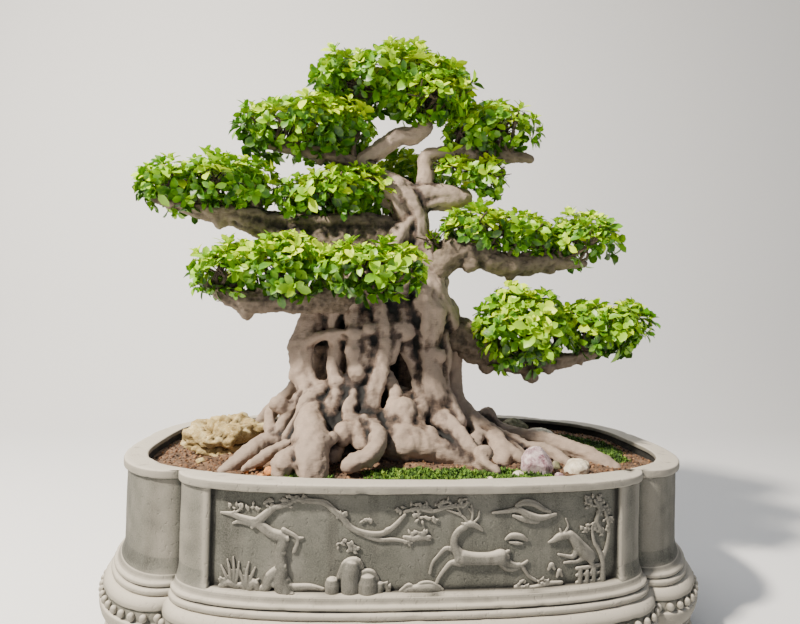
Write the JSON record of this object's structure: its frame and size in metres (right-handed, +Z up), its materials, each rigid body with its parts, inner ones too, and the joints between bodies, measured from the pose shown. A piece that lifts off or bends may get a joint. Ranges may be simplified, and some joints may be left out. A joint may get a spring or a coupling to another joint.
{
  "type": "bonsai tree in a pot",
  "caption": "Old fig bonsai with fused roots and tiered foliage pads, in a lobed concrete planter with relief panels, on a low matching plinth.",
  "frame": {"origin": "centre of the plinth's underside, on the ground", "axes": "+Z up, +X along the pot to the viewer's right, -Y towards the viewer"},
  "size_m": [1.356, 0.89, 1.3929],
  "materials": {
    "concrete": "cast concrete, weathered, matte",
    "mortar": "hand-laid mortar relief, matte",
    "bark": "grey to tan fig bark, matte",
    "leaf": "live leaves, waxy",
    "moss": "live moss, matte",
    "soil": "gritty potting soil, matte",
    "gravel": "coarse drainage gravel, matte",
    "screen": "moulded mesh screen",
    "porous_rock": "porous pale rock, matte",
    "stone": "weathered stone, matte",
    "quartz": "broken quartz, satin"
  },
  "bodies": {
    "root": {"branch_apex": "bark", "branch_back_high": "bark", "branch_back_low": "bark", "branch_lower_left": "bark", "branch_lower_right": "bark", "branch_mid_left": "bark", "branch_mid_right": "bark", "branch_upper_left": "bark", "branch_upper_right": "bark", "cream_stone": "porous_rock", "drain_screen_centre": "screen", "drain_screen_left": "screen", "drain_screen_right": "screen", "drainage_gravel": "gravel", "flat_stone": "stone", "leaves_apex": "leaf", "leaves_back_high": "leaf", "leaves_back_low": "leaf", "leaves_far_left": "leaf", "leaves_far_right": "leaf", "leaves_low_far_right": "leaf", "leaves_low_right": "leaf", "leaves_lower_front": "leaf", "leaves_lower_left": "leaf", "leaves_mid_left": "leaf", "leaves_mid_right": "leaf", "leaves_small_right": "leaf", "leaves_upper_left": "leaf", "leaves_upper_right": "leaf", "moss_back_left": "moss", "moss_front": "moss", "moss_right": "moss", "mossy_stone": "stone", "plinth": "concrete", "porous_rock": "porous_rock", "pot_body": "concrete", "quartz_stone": "quartz", "relief_back_bamboo": "mortar", "relief_back_pine": "mortar", "relief_back_rocks": "mortar", "relief_front_clouds": "mortar", "relief_front_deer": "mortar", "relief_front_grass": "mortar", "relief_front_pine": "mortar", "relief_front_rocks": "mortar", "relief_front_second_deer": "mortar", "relief_front_trees": "mortar", "relief_left_plum": "mortar", "relief_right_plum": "mortar", "soil": "soil", "trunk_and_roots": "bark"}
  },
  "joints": []
}
